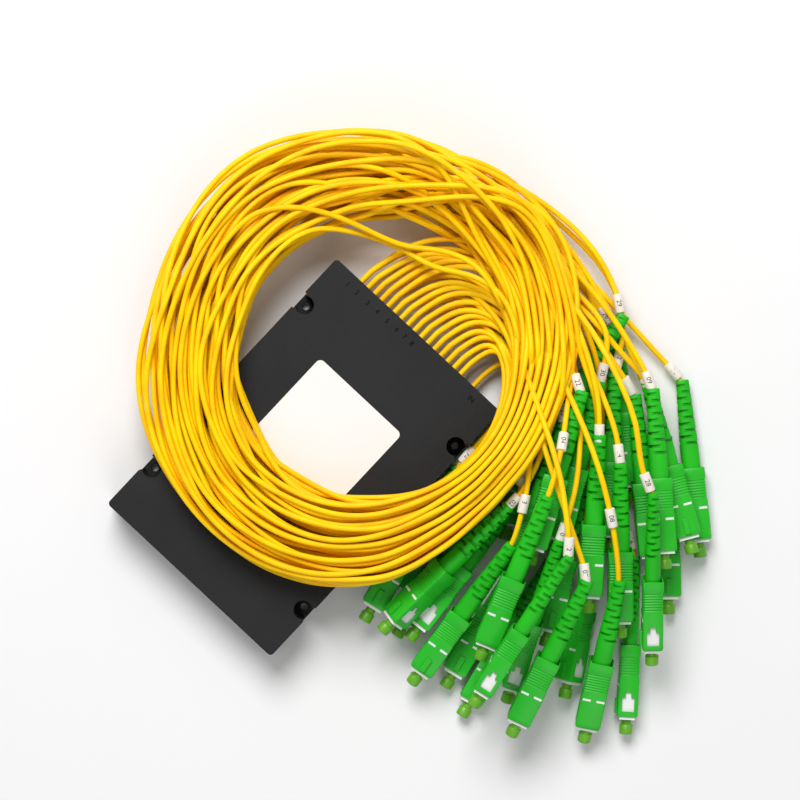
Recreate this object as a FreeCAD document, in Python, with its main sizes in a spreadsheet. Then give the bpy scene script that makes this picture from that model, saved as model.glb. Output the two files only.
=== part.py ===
import FreeCAD, Part
import math
import os
import Sketcher
from FreeCAD import Placement, Rotation, Vector

# PLC fibre splitter, one input to 32 outputs, in a flat cassette with plugged pigtails.
# Origin: middle of the cassette's bottom. +Y is the long axis and points to the end with the
# cables, +Z is up. Millimetres and degrees.

driving = {
    # cassette
    "boxWidth": 80, "boxLength": 120, "boxHeight": 18, "cornerRound": 1.5,
    "lidThick": 2.2, "floorThick": 1.8, "wallThick": 2.2,
    # mounting screws in the corners of the cassette
    "screwInX": 3, "screwInY": 20, "recessRadius": 3.4, "screwRadius": 1.4,
    "lugHeight": 3, "bossWall": 2, "bossChamfer": 1.5, "insetDeep": 0.7, "insetWide": 7,
    # how the lid is held
    "lipDeep": 1.6, "lipThick": 1.2, "lipGap": 0.2, "tongueY": 18, "tongueWide": 8,
    "tongueDeep": 6, "hookOut": 0.6, "hookTall": 1.4, "hookGap": 0.15,
    # label on the lid
    "labelWidth": 40, "labelLength": 60, "labelThick": 0.15, "labelRound": 2,
    # jacketed cables in the end wall
    "jacketWide": 2, "columnPitch": 3.25, "firstColumn": -28.1, "inputColumn": 27,
    "lowerRow": 5, "upperRow": 10.5, "slotGap": 0.06, "combEdge": 3, "combGap": 0.1,
    "flangeWide": 1.4, "flangeThick": 1.2, "cableInside": 7, "fanOutRun": 8,
    # splitter chip inside
    "moduleWidth": 7, "moduleLength": 50, "moduleHeight": 4, "moduleIn": 54,
    "endPlugWidth": 5.4, "endPlugHeight": 2.8, "endPlugLong": 5, "padWidth": 11, "padThick": 1.6,
    "ribbonThick": 0.6, "fibreWide": 0.9, "fibreGap": 0.2,
    # plug: the green grip and its slide, the white frame inside
    "gripLong": 26, "gripWide": 9, "gripTall": 7.4, "gripWall": 0.75, "gripEdge": 0.6,
    "windowFront": 2, "windowLong": 5, "windowTall": 4.4, "notchLong": 2, "notchTall": 2,
    "keyWide": 2, "keyLong": 5.5, "keyTall": 0.8, "keyFront": 1,
    "frameFit": 0.15, "noseOut": 1, "frameLong": 25, "cavityWide": 4.2, "cavityDeep": 6,
    "ferruleWide": 2.5, "ferruleLong": 5.5,
    # rubber boot
    "bootSideGap": 0.35, "bootTopGap": 0.15, "bootStraight": 10, "bootTaper": 24, "bootEnd": 3.8,
    # dust cap
    "capStem": 3.5, "capStemDeep": 4.5, "capNeck": 2, "capFlange": 4.8, "capFlangeLong": 3.5,
    "boreGap": 0.2, "capBoreEnd": 2.2,
    # coil of the cables
    "coilX": -5, "coilIn": 17, "coilInner": 47, "coilGap": 0.05, "coilShoulder": 0.6,
}

doc = FreeCAD.newDocument("FibreSplitter")
sheet = doc.addObject("Spreadsheet::Sheet", "sizes")
for row, (alias, number) in enumerate(driving.items(), start=1):
    sheet.set("A%d" % row, alias)
    sheet.set("B%d" % row, str(number))
    sheet.setAlias("B%d" % row, alias)


# A size knows its number and the sheet's formula for it, so both always agree.
class Size:
    def __init__(self, number, formula):
        self.number = float(number)
        self.formula = formula

    def __add__(self, other):
        return combine(self, "+", other)

    def __radd__(self, other):
        return combine(other, "+", self)

    def __sub__(self, other):
        return combine(self, "-", other)

    def __rsub__(self, other):
        return combine(other, "-", self)

    def __mul__(self, other):
        return combine(self, "*", other)

    def __rmul__(self, other):
        return combine(other, "*", self)

    def __truediv__(self, other):
        return combine(self, "/", other)

    def __neg__(self):
        return combine(-1, "*", self)


def asSize(amount):
    return amount if isinstance(amount, Size) else Size(amount, "(%r)" % amount)


def combine(left, sign, right):
    first, second = asSize(left), asSize(right)
    numbers = {
        "+": lambda: first.number + second.number,
        "-": lambda: first.number - second.number,
        "*": lambda: first.number * second.number,
        "/": lambda: first.number / second.number,
    }
    return Size(numbers[sign](), "(%s %s %s)" % (first.formula, sign, second.formula))


class Sizes:
    def __getattr__(self, alias):
        return Size(driving[alias], "sizes." + alias)


d = Sizes()


def bind(item, prop, amount):
    if isinstance(amount, Size):
        item.setExpression(prop, amount.formula)


# ---- sketches and features -------------------------------------------------------------------

planeOf = {"x": "YZ_Plane", "y": "XZ_Plane", "z": "XY_Plane"}
cuts = []


def newBody(name):
    return doc.addObject("PartDesign::Body", name)


def planeSketch(body, name, axis, low, high):
    sketch = body.newObject("Sketcher::SketchObject", name)
    plane = next(f for f in body.Origin.OriginFeatures if f.Role == planeOf[axis])
    sketch.AttachmentSupport = [(plane, "")]
    sketch.MapMode = "FlatFace"
    # the XZ plane looks along -Y, so its offsets run the other way
    start = -asSize(high) if axis == "y" else asSize(low)
    sketch.AttachmentOffset = Placement(Vector(0, 0, start.number), Rotation())
    bind(sketch, "AttachmentOffset.Base.z", start)
    return sketch


def pinPoint(sketch, curve, end, across, up):
    for kind, amount in (("DistanceX", asSize(across)), ("DistanceY", asSize(up))):
        index = sketch.addConstraint(Sketcher.Constraint(kind, -1, 1, curve, end, amount.number))
        bind(sketch, "Constraints[%d]" % index, amount)


def addOutline(sketch, points):
    first = sketch.GeometryCount
    count = len(points)
    spots = [Vector(asSize(a).number, asSize(b).number, 0) for a, b in points]
    for index in range(count):
        sketch.addGeometry(Part.LineSegment(spots[index], spots[(index + 1) % count]))
    for index in range(count):
        following = first + (index + 1) % count
        sketch.addConstraint(Sketcher.Constraint("Coincident", first + index, 2, following, 1))
    for index, (across, up) in enumerate(points):
        pinPoint(sketch, first + index, 1, across, up)


def addCircle(sketch, across, up, radius):
    centre = Vector(asSize(across).number, asSize(up).number, 0)
    curve = sketch.addGeometry(Part.Circle(centre, Vector(0, 0, 1), asSize(radius).number))
    pinPoint(sketch, curve, 3, across, up)
    index = sketch.addConstraint(Sketcher.Constraint("Radius", curve, asSize(radius).number))
    bind(sketch, "Constraints[%d]" % index, radius)


def addFeature(body, kind, name, axis, low, high, outlines, circles=()):
    sketch = planeSketch(body, name + "Sketch", axis, low, high)
    for points in outlines:
        addOutline(sketch, points)
    for across, up, radius in circles:
        addCircle(sketch, across, up, radius)
    feature = body.newObject("PartDesign::" + kind, name)
    feature.Profile = sketch
    length = asSize(high) - asSize(low)
    feature.Length = length.number
    bind(feature, "Length", length)
    if kind == "Pocket":
        feature.Reversed = True
        cuts.append(feature)
    body.Tip = feature
    return feature


def pad(body, name, axis, low, high, outlines, circles=()):
    return addFeature(body, "Pad", name, axis, low, high, outlines, circles)


def pocket(body, name, axis, low, high, outlines, circles=()):
    return addFeature(body, "Pocket", name, axis, low, high, outlines, circles)


def repeatAlong(body, feature, name, sketchAxis, length, count):
    pattern = body.newObject("PartDesign::LinearPattern", name)
    pattern.Originals = [feature]
    pattern.Direction = (feature.Profile[0], [sketchAxis])
    pattern.Occurrences = count
    pattern.Length = length.number
    bind(pattern, "Length", length)
    body.Tip = pattern
    return pattern


# Rounds the edges of a pad that stand along Z.
def roundUprights(body, feature, name, radius):
    doc.recompute()
    uprights = []
    for index, edge in enumerate(feature.Shape.Edges, start=1):
        ends = [v.Point for v in edge.Vertexes]
        if len(ends) == 2 and (ends[1] - ends[0]).cross(Vector(0, 0, 1)).Length < 0.001:
            uprights.append("Edge%d" % index)
    fillet = body.newObject("PartDesign::Fillet", name)
    fillet.Base = (feature, uprights)
    fillet.Radius = radius.number
    bind(fillet, "Radius", radius)
    body.Tip = fillet
    return fillet


def rectangle(x0, y0, x1, y1):
    return [(x0, y0), (x1, y0), (x1, y1), (x0, y1)]


def bevelledRectangle(halfWide, halfTall, edge):
    return [
        (-halfWide + edge, -halfTall), (halfWide - edge, -halfTall),
        (halfWide, -halfTall + edge), (halfWide, halfTall - edge),
        (halfWide - edge, halfTall), (-halfWide + edge, halfTall),
        (-halfWide, halfTall - edge), (-halfWide, -halfTall + edge),
    ]


# share of an octagon's width that each of its corners stands out from the middle of a side
octagonCorner = math.tan(math.pi / 8) / 2


def octagon(across):
    flat = across / 2
    corner = across * octagonCorner
    return [
        (-corner, -flat), (corner, -flat), (flat, -corner), (flat, corner),
        (corner, flat), (-corner, flat), (-flat, corner), (-flat, -corner),
    ]


def hexagon(radius):
    turns = [math.radians(60 * index) for index in range(6)]
    return [(radius * math.cos(turn), radius * math.sin(turn)) for turn in turns]


# ---- cassette --------------------------------------------------------------------------------

halfWidth = d.boxWidth / 2
halfLength = d.boxLength / 2
baseTop = d.boxHeight - d.lidThick
bossReach = d.recessRadius + d.bossWall
screwPlaces = [(sx * (halfWidth - d.screwInX), sy * (halfLength - d.screwInY), sx)
               for sx in (-1, 1) for sy in (-1, 1)]
tonguePlaces = [(sx, sy) for sx in (-1, 1) for sy in (-1, 1)]
slotReach = d.jacketWide / 2 + d.slotGap
combLeft = d.firstColumn - d.combEdge
combRight = d.inputColumn + d.combEdge
lowerCombTop = d.lowerRow + slotReach
upperCombTop = d.upperRow + slotReach
combSill = d.lowerRow - slotReach - 1
columnCount = 16


def screwRecesses():
    return [(x, y, d.recessRadius) for x, y, side in screwPlaces]


def sideInsets():
    outlines = []
    for x, y, side in screwPlaces:
        outer = side * halfWidth
        inner = side * (halfWidth - d.insetDeep)
        outlines.append(rectangle(inner, y - d.insetWide / 2, outer, y + d.insetWide / 2))
    return outlines


# Outline of one screw boss. It reaches half way into the long wall; grow widens it all round.
def bossOutline(x, y, side, grow=0):
    reach = bossReach + grow
    inner = x - side * reach
    outer = side * (halfWidth - d.wallThick / 2)
    bevel = side * d.bossChamfer
    return [
        (inner, y - reach + d.bossChamfer), (inner + bevel, y - reach), (outer, y - reach),
        (outer, y + reach), (inner + bevel, y + reach), (inner, y + reach - d.bossChamfer),
    ]


def makeBaseShell():
    body = newBody("base_shell")
    block = pad(body, "baseBlock", "z", 0, baseTop,
                [rectangle(-halfWidth, -halfLength, halfWidth, halfLength)])
    roundUprights(body, block, "baseCorners", d.cornerRound)
    insideX, insideY = halfWidth - d.wallThick, halfLength - d.wallThick
    pocket(body, "baseRoom", "z", d.floorThick, baseTop,
           [rectangle(-insideX, -insideY, insideX, insideY)])
    pad(body, "screwBosses", "z", d.floorThick / 2, baseTop,
        [bossOutline(x, y, side) for x, y, side in screwPlaces])
    pocket(body, "screwRecess", "z", d.lugHeight, baseTop, [], screwRecesses())
    pocket(body, "screwHoles", "z", 0, d.lugHeight, [],
           [(x, y, d.screwRadius) for x, y, side in screwPlaces])
    pocket(body, "sideInset", "z", d.lugHeight, baseTop, sideInsets())
    pocket(body, "cableWindow", "y", insideY, halfLength,
           [rectangle(combLeft, combSill, combRight, baseTop)])
    hookTop = baseTop - d.tongueDeep + d.hookTall + d.hookGap
    hookLow = baseTop - d.tongueDeep - d.hookGap
    seats = []
    for sx, sy in tonguePlaces:
        middle = sy * d.tongueY
        half = d.tongueWide / 2 + d.hookGap
        deep = sx * (insideX - d.lipGap + d.hookOut + d.hookGap)
        seats.append(rectangle(sx * insideX, middle - half, deep, middle + half))
    pocket(body, "hookSeats", "z", hookLow, hookTop, seats)


def makeLid():
    body = newBody("lid")
    plate = pad(body, "lidPlate", "z", baseTop, d.boxHeight,
                [rectangle(-halfWidth, -halfLength, halfWidth, halfLength)])
    roundUprights(body, plate, "lidCorners", d.cornerRound)
    lipX = halfWidth - d.wallThick - d.lipGap
    lipY = halfLength - d.wallThick - d.lipGap
    pad(body, "lidLip", "z", baseTop - d.lipDeep, baseTop, [
        rectangle(-lipX, -lipY, lipX, lipY),
        rectangle(-lipX + d.lipThick, -lipY + d.lipThick, lipX - d.lipThick, lipY - d.lipThick),
    ])
    tongues, hooks = [], []
    for sx, sy in tonguePlaces:
        low = sy * d.tongueY - d.tongueWide / 2
        high = sy * d.tongueY + d.tongueWide / 2
        tongues.append(rectangle(sx * (lipX - d.lipThick), low, sx * lipX, high))
        hooks.append(rectangle(sx * (lipX - d.lipThick), low, sx * (lipX + d.hookOut), high))
    tongueLow = baseTop - d.tongueDeep
    pad(body, "lidTongues", "z", tongueLow, baseTop, tongues)
    pad(body, "lidHooks", "z", tongueLow, tongueLow + d.hookTall, hooks)
    pocket(body, "lipAroundBosses", "z", baseTop - d.lipDeep, baseTop,
           [bossOutline(x, y, side, d.lipGap) for x, y, side in screwPlaces])
    pocket(body, "lipAtWindow", "z", baseTop - d.lipDeep, baseTop, [
        rectangle(combLeft - d.flangeWide - d.lipGap, lipY - d.lipThick,
                  combRight + d.flangeWide + d.lipGap, lipY)])
    pocket(body, "lidRecess", "z", baseTop, d.boxHeight, [], screwRecesses())
    pocket(body, "lidInset", "z", baseTop, d.boxHeight, sideInsets())


def makeLabel():
    body = newBody("label_sticker")
    halfX, halfY = d.labelWidth / 2, d.labelLength / 2
    sheetPad = pad(body, "labelSheet", "z", d.boxHeight, d.boxHeight + d.labelThick,
                   [rectangle(-halfX, -halfY, halfX, halfY)])
    roundUprights(body, sheetPad, "labelCorners", d.labelRound)


# One strip of the stack that closes the cable window, with a flange behind the wall.
def makeStrip(name, low, high):
    body = newBody(name)
    inside = halfLength - d.wallThick
    pad(body, name + "Bar", "y", inside, halfLength,
        [rectangle(combLeft + d.combGap, low, combRight - d.combGap, high)])
    pad(body, name + "Flange", "y", inside - d.flangeThick, inside,
        [rectangle(combLeft - d.flangeWide, low, combRight + d.flangeWide, high)])
    return body


# Open slot with an octagon's lower half as its floor, for a cable centred at the given place.
def slotOutline(x, z, top):
    corner = slotReach * 2 * octagonCorner
    return [
        (x - slotReach, top), (x - slotReach, z - corner), (x - corner, z - slotReach),
        (x + corner, z - slotReach), (x + slotReach, z - corner), (x + slotReach, top),
    ]


def cutSlots(body, name, z, top):
    inside = halfLength - d.wallThick - d.flangeThick
    slot = pocket(body, name + "Slot", "y", inside, halfLength,
                  [slotOutline(d.firstColumn, z, top)])
    repeatAlong(body, slot, name + "Slots", "H_Axis", d.columnPitch * (columnCount - 1), columnCount)


def makeCombs():
    lower = makeStrip("lower_comb", combSill, lowerCombTop)
    cutSlots(lower, "lowerComb", d.lowerRow, lowerCombTop)
    pocket(lower, "inputSlot", "y", halfLength - d.wallThick - d.flangeThick, halfLength,
           [slotOutline(d.inputColumn, d.lowerRow, lowerCombTop)])
    upper = makeStrip("upper_comb", lowerCombTop, upperCombTop)
    cutSlots(upper, "upperComb", d.upperRow, upperCombTop)
    makeStrip("cable_clamp", upperCombTop, baseTop)


# ---- splitter chip ---------------------------------------------------------------------------

moduleLow = d.floorThick + d.padThick
moduleMiddle = moduleLow + d.moduleHeight / 2
moduleY = d.moduleIn - halfLength
moduleFront = moduleY + d.moduleLength / 2
moduleBack = moduleY - d.moduleLength / 2
cableStart = halfLength - d.wallThick - d.cableInside
fibreTurnSteps = 10


def makeBlock(name, low, high, outlines):
    body = newBody(name)
    pad(body, name + "Pad", "z", low, high, outlines)
    return body


def makeInsides():
    padHalf, moduleHalf, plugHalf = d.padWidth / 2, d.moduleWidth / 2, d.endPlugWidth / 2
    makeBlock("module_pad", d.floorThick, moduleLow,
              [rectangle(-padHalf, moduleBack, padHalf, moduleFront)])
    makeBlock("splitter_module", moduleLow, moduleLow + d.moduleHeight,
              [rectangle(-moduleHalf, moduleBack, moduleHalf, moduleFront)])
    plugs = newBody("module_end_plugs")
    pad(plugs, "endPlugPad", "z", moduleMiddle - d.endPlugHeight / 2,
        moduleMiddle + d.endPlugHeight / 2,
        [rectangle(-plugHalf, moduleFront, plugHalf, moduleFront + d.endPlugLong),
         rectangle(-plugHalf, moduleBack - d.endPlugLong, plugHalf, moduleBack)])
    fanEnd = cableStart - d.fibreGap
    lastColumn = d.firstColumn + d.columnPitch * (columnCount - 1)
    makeBlock("ribbon_fan", moduleMiddle - d.ribbonThick / 2, moduleMiddle + d.ribbonThick / 2, [[
        (-plugHalf, moduleFront + d.endPlugLong), (plugHalf, moduleFront + d.endPlugLong),
        (lastColumn, fanEnd), (d.firstColumn, fanEnd)]])
    makeInputFibre(fanEnd)


# The input fibre leaves the chip's back end, turns half round and runs to the window.
def makeInputFibre(fanEnd):
    middle = d.inputColumn / 2
    half = d.fibreWide / 2
    start = moduleBack - d.endPlugLong
    turns = [math.pi * (1 + index / fibreTurnSteps) for index in range(fibreTurnSteps + 1)]

    def turnPoints(radius):
        return [(middle + radius * math.cos(turn), start + radius * math.sin(turn)) for turn in turns]

    outline = turnPoints(middle - half)
    outline += [(d.inputColumn - half, fanEnd), (d.inputColumn + half, fanEnd)]
    outline += reversed(turnPoints(middle + half))
    makeBlock("input_fibre", moduleMiddle - half, moduleMiddle + half, [outline])


# ---- one plug, in its own frame: +X forward from the grip's front, +Z to the key --------------

gripHalfWide, gripHalfTall = d.gripWide / 2, d.gripTall / 2
roomHalfWide, roomHalfTall = gripHalfWide - d.gripWall, gripHalfTall - d.gripWall
frameBack = d.noseOut - d.frameLong
bootBack = frameBack - d.bootStraight - d.bootTaper
cavityFloor = d.noseOut - d.cavityDeep


# The grips of the plugs underneath are made without the latch windows.
def makeGrip(name, windows):
    body = newBody(name)
    pad(body, name + "Tube", "x", -d.gripLong, 0, [
        bevelledRectangle(gripHalfWide, gripHalfTall, d.gripEdge),
        rectangle(-roomHalfWide, -roomHalfTall, roomHalfWide, roomHalfTall)])
    key = rectangle(-d.keyWide / 2, gripHalfTall, d.keyWide / 2, gripHalfTall + d.keyTall)
    pad(body, name + "Key", "x", -d.keyFront - d.keyLong, -d.keyFront, [key])
    if not windows:
        return body
    front, middle = -d.windowFront, -d.windowFront - d.windowLong
    back = middle - d.notchLong
    tall, low = d.windowTall / 2, d.notchTall / 2
    pocket(body, name + "Windows", "y", -gripHalfWide, gripHalfWide, [[
        (front, -tall), (front, tall), (middle, tall), (middle, low),
        (back, low), (back, -low), (middle, -low), (middle, -tall)]])
    return body


def makeFrame():
    body = newBody("frameMaster")
    halfWide, halfTall = roomHalfWide - d.frameFit, roomHalfTall - d.frameFit
    pad(body, "frameBlock", "x", frameBack, d.noseOut,
        [rectangle(-halfWide, -halfTall, halfWide, halfTall)])
    half = d.cavityWide / 2
    pocket(body, "frameCavity", "x", cavityFloor, d.noseOut, [rectangle(-half, -half, half, half)])
    return body


def makeFerrule():
    body = newBody("ferruleMaster")
    pad(body, "ferruleRod", "x", cavityFloor, cavityFloor + d.ferruleLong,
        [hexagon(d.ferruleWide / 2)])
    return body


# The caps of the plugs underneath are filled by the ferrule that they cover.
def makeCap(name, hollow):
    body = newBody(name)
    neckEnd = d.noseOut + d.capNeck
    pad(body, name + "Stem", "x", -d.capStemDeep, neckEnd, [octagon(d.capStem)])
    pad(body, name + "Flange", "x", neckEnd, neckEnd + d.capFlangeLong, [octagon(d.capFlange)])
    if hollow:
        pocket(body, name + "Bore", "x", -d.capStemDeep, d.capBoreEnd,
               [hexagon(d.ferruleWide / 2 + d.boreGap)])
    return body


# Skin through rings with as many corners each. Rings that match run by run give flat sides; where
# flat is False the sides are warped and each is two triangles.
def skinSolid(rings, closed=False, flat=True):
    faces = []

    def addFace(*corners):
        faces.append(Part.Face(Part.makePolygon(list(corners) + [corners[0]])))

    for index in range(len(rings) if closed else len(rings) - 1):
        here, there = rings[index], rings[(index + 1) % len(rings)]
        for side in range(len(here)):
            after = (side + 1) % len(here)
            if flat:
                addFace(here[side], here[after], there[after], there[side])
            else:
                addFace(here[side], here[after], there[after])
                addFace(here[side], there[after], there[side])
    if not closed:
        addFace(*rings[0])
        addFace(*rings[-1])
    shell = Part.makeShell(faces)
    shell.sewShape()
    solid = Part.makeSolid(shell)
    if solid.Volume < 0:
        solid.reverse()
    return solid


def addShape(name, shape):
    item = doc.addObject("Part::Feature", name)
    item.Shape = shape
    item.Placement = Placement()
    return item


# Oblong octagon at the grip, straight, then drawn in evenly towards the cable.
def makeBoot():
    halfWide = roomHalfWide.number - d.bootSideGap.number
    halfTall = roomHalfTall.number - d.bootTopGap.number
    edge = 2 * halfTall * (0.5 - octagonCorner)
    drawnIn = halfTall - d.bootEnd.number / 2
    share = d.bootEnd.number / (2 * halfTall)
    rings = []
    for x, pulled, bevel in ((frameBack.number, 0, edge),
                             (frameBack.number - d.bootStraight.number, 0, edge),
                             (bootBack.number, drawnIn, edge * share)):
        corners = bevelledRectangle(halfWide - pulled, halfTall - pulled, bevel)
        rings.append([Vector(x, across, up) for across, up in corners])
    return addShape("bootMaster", skinSolid(rings))


# Number of the cable, place of the grip's front (x, y, z), heading about Z, nose-down lean,
# roll about its own axis. 0 is the input.
plugPlaces = [
    (1, 71.5, -15.5, 13.0, -85, 0, 90),
    (2, 63.0, -20.0, 18.5, -92, 7, 45),
    (3, 67.5, -18.5, 3.75, -81, 0, 0),
    (31, 83.0, -27.0, 10.5, -82, 16, 0),
    (4, 92.5, -3.5, 25.0, -69, 12, 180),
    (12, 102.5, -16.5, 31.0, -79, 11, 90),
    (10, 110.5, -9.0, 13.0, -64, 16, 90),
    (5, 104.0, -23.5, 3.75, -77, 0, 0),
    (6, 92.5, -20.0, 3.75, -78, 0, 0),
    (7, 120.0, -16.0, 19.5, -72, 15, 180),
    (8, 140.5, -1.0, 8.0, -58, 20, 180),
    (16, 149.0, 11.0, 4.6, -50, 0, 90),
    (28, 137.0, 35.5, 19.4, -46, 16, 90),
    (13, 120.0, 73.5, 12.7, -32, 0, 0),
    (15, 108.0, 34.0, 17.5, -50, 9, 180),
    (17, 106.5, 15.0, 10.5, -60, 0, 0),
    (19, 124.5, 6.0, 6.5, -58, 0, 45),
    (20, 130.5, 53.0, 3.75, -46, 0, 0),
]

# the plugs that lie under or behind the others
sparePlaces = [
    (9, 116.5, 63.5, 21.0, -43, 0, 180),
    (11, 115.0, 59.5, 12.0, -41, 0, 0),
    (14, 122.5, 35.0, 14.5, -46, 13, 180),
    (18, 70.5, 33.0, 3.75, -67, 0, 0),
    (21, 99.5, 55.0, 13.0, -48, -2, 0),
    (22, 81.5, 33.0, 26.0, -64, 1, 0),
    (23, 83.5, 19.0, 17.0, -66, 3, 0),
    (24, 79.5, 59.5, 3.75, -55, 0, 0),
    (25, 55.0, -11.0, 3.75, -83, 0, 0),
    (26, 93.5, 74.0, 3.75, -40, 0, 0),
    (27, 51.5, 29.0, 11.0, -86, 0, 0),
    (29, 61.0, 59.0, 12.0, -78, 0, 0),
    (30, 86.0, 41.0, 18.0, -62, 0, 0),
    (32, 54.5, -22.0, 12.0, -78, 0, 0),
    (0, 124.5, 75.5, 3.75, -41, 0, 0),
]


def plugPlacement(row):
    number, x, y, z, heading, lean, roll = row
    turned = Rotation(Vector(0, 0, 1), heading) * Rotation(Vector(0, 1, 0), lean)
    return Placement(Vector(x, y, z), turned * Rotation(Vector(1, 0, 0), roll))


def placeCopy(master, name, place):
    copy = doc.addObject("Part::Compound", name)
    copy.Links = [master]
    copy.Placement = place
    return copy


def groupCopies(master, name, rows):
    group = doc.addObject("Part::Compound", name)
    group.Links = [placeCopy(master, "%sOf%02d" % (name, row[0]), plugPlacement(row)) for row in rows]
    return group


# ---- cables ----------------------------------------------------------------------------------

def cableExits():
    exits = []
    for row in (d.lowerRow, d.upperRow):
        for column in range(columnCount):
            exits.append((d.firstColumn + d.columnPitch * column, row))
    exits.append((d.inputColumn, d.lowerRow))
    return exits


# the six-sided cable is this much wider over its corners than the round one
hexagonSpread = 1.05
cableSection = hexagon(d.jacketWide / 2 * hexagonSpread)


# The first straight stretch of every cable, from inside the window to clear of the wall.
def makeFanOut():
    rods = []
    for index, (x, z) in enumerate(cableExits()):
        rod = newBody("fanOutRod%02d" % index)
        outline = [(x + across, z + up) for across, up in cableSection]
        pad(rod, rod.Name + "Pad", "y", cableStart, halfLength + d.fanOutRun, [outline])
        rods.append(rod)
    fan = doc.addObject("Part::Compound", "fan_out")
    fan.Links = rods


# Where each cable goes after its boot: four places, the last one in the coil.
tailRoutes = {
    0: [(71, 114, 4), (58, 115, 5), (35, 117, 6), (1, 116, 6)],
    1: [(64, 45, 20), (58, 52, 23), (51, 60, 25), (40, 75, 23)],
    2: [(65, 45, 26), (63, 53, 25), (60, 61, 24), (57, 68, 23)],
    3: [(58, 45, 7), (56, 57, 15), (50, 72, 21), (46, 78, 21)],
    4: [(68, 58, 38), (63, 67, 34), (56, 77, 29), (51, 85, 24)],
    5: [(92, 47, 6), (83, 64, 11), (65, 85, 24), (45, 95, 25)],
    6: [(78, 47, 5), (73, 61, 11), (59, 80, 20), (39, 92, 21.5)],
    7: [(93, 43, 34), (74, 53, 34), (51, 66, 30), (30, 80, 22)],
    8: [(93.5, 59.5, 36), (72.5, 72.5, 35.5), (40.5, 86.5, 25), (12, 93.5, 14)],
    9: [(62, 108, 20), (38, 114, 18), (10, 116, 14), (-8, 115, 10)],
    10: [(82, 51, 27), (75, 63, 27), (59, 82, 23), (45, 92, 18)],
    11: [(56, 101, 17), (42, 104, 16), (14, 103, 12), (-9, 100, 10)],
    12: [(82, 48, 44), (67, 60, 41), (37, 76, 29), (18, 86, 17)],
    13: [(56, 105, 16), (41, 107, 16), (21, 107, 13), (9, 107, 12)],
    14: [(73, 84, 27), (49, 95, 21), (28, 101, 16), (1, 99, 9)],
    15: [(61, 88, 28), (43, 99, 26), (20, 109, 18), (-1, 112, 11)],
    16: [(92, 67, 3), (74, 82, 3), (36, 115, 11), (16, 118, 12)],
    17: [(61.5, 90, 9), (47, 98.5, 6.5), (35.5, 103.5, 6.5), (17.5, 107.5, 8)],
    18: [(42, 90, 5), (29, 95, 8), (15, 100, 9), (7, 102, 9)],
    19: [(87, 68, 5), (67, 85, 10), (54, 97, 17), (36, 105, 19)],
    20: [(78, 100, 4), (53, 111, 7), (28, 118, 9), (14, 121, 9)],
    21: [(58, 104, 11), (49, 117, 8), (29, 125, 6), (-6, 124, 4)],
    22: [(44, 89, 25), (28, 93, 20), (-1, 96, 13), (-14, 94, 10)],
    23: [(53, 78, 20), (43, 87, 17), (30, 95, 14), (24, 99, 13)],
    24: [(39, 109, 4), (26, 112, 4), (14, 114, 4), (-4, 114, 5)],
    25: [(45, 54, 5), (40, 64, 8), (28, 85, 11), (20, 93, 11)],
    26: [(39, 112, 5), (25, 114, 7), (12, 115, 8), (1, 115, 9)],
    27: [(38, 92, 11), (30, 94, 10), (16, 97, 10), (-9, 95, 8)],
    28: [(90, 78, 36), (73, 93, 39), (32, 107, 26), (13, 102, 14)],
    29: [(33, 124, 12), (16, 127, 10), (-6, 125, 9), (-29, 118, 9)],
    30: [(52, 104, 19), (44, 109, 18), (29, 110, 13), (5, 111, 10)],
    31: [(72, 35, 28), (64, 49, 28), (52, 63, 26), (43, 75, 22)],
    32: [(42, 58, 15), (39, 71, 16), (33, 79, 16), (25, 86, 14)],
}

# what the tightest bend of a cable may be, and how much of the shorter run its arc takes
leastBend = 3 * d.jacketWide.number
arcShare = 0.45


def crossPlane(start, direction, point, normal):
    return start + direction * ((point - start).dot(normal) / direction.dot(normal))


# Straight runs with mitred corners. It starts flat on the boot's end and ends square.
def makeTail(row):
    place = plugPlacement(row)
    forward = place.Rotation.multVec(Vector(1, 0, 0))
    path = [place.multVec(Vector(bootBack.number, 0, 0))]
    path += [Vector(*point) for point in tailRoutes[row[0]]]
    runs = [after - before for before, after in zip(path, path[1:])]
    ways = [Vector(run).normalize() for run in runs]
    across = ways[0].cross(Vector(0, 0, 1)).normalize()
    up = across.cross(ways[0])
    section = [across * side.number + up * rise.number for side, rise in cableSection]
    rings = [[crossPlane(path[0] + corner, ways[0], path[0], forward) for corner in section]]
    for index, point in enumerate(path[1:]):
        here = ways[index]
        there = ways[min(index + 1, len(ways) - 1)]
        rings.append([crossPlane(corner, here, point, here + there) for corner in rings[-1]])
    tail = skinSolid(rings)
    length = sum(run.Length for run in runs)
    area = 1.5 * math.sqrt(3) * section[0].Length ** 2
    if abs(tail.Volume / (area * length) - 1) > 0.01:
        raise RuntimeError("cable %d is not its section times its length" % row[0])
    bends = []
    for index in range(len(runs) - 1):
        shorter = min(runs[index].Length, runs[index + 1].Length)
        turn = runs[index].getAngle(runs[index + 1])
        bends.append(arcShare * shorter / math.tan(turn / 2))
    if min(bends) < leastBend:
        raise RuntimeError("cable %d bends to %.1f mm" % (row[0], min(bends)))
    print("cable %02d: %.0f mm from the coil, bends %s mm"
          % (row[0], length, ", ".join("%.0f" % bend for bend in bends)))
    return tail


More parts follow.
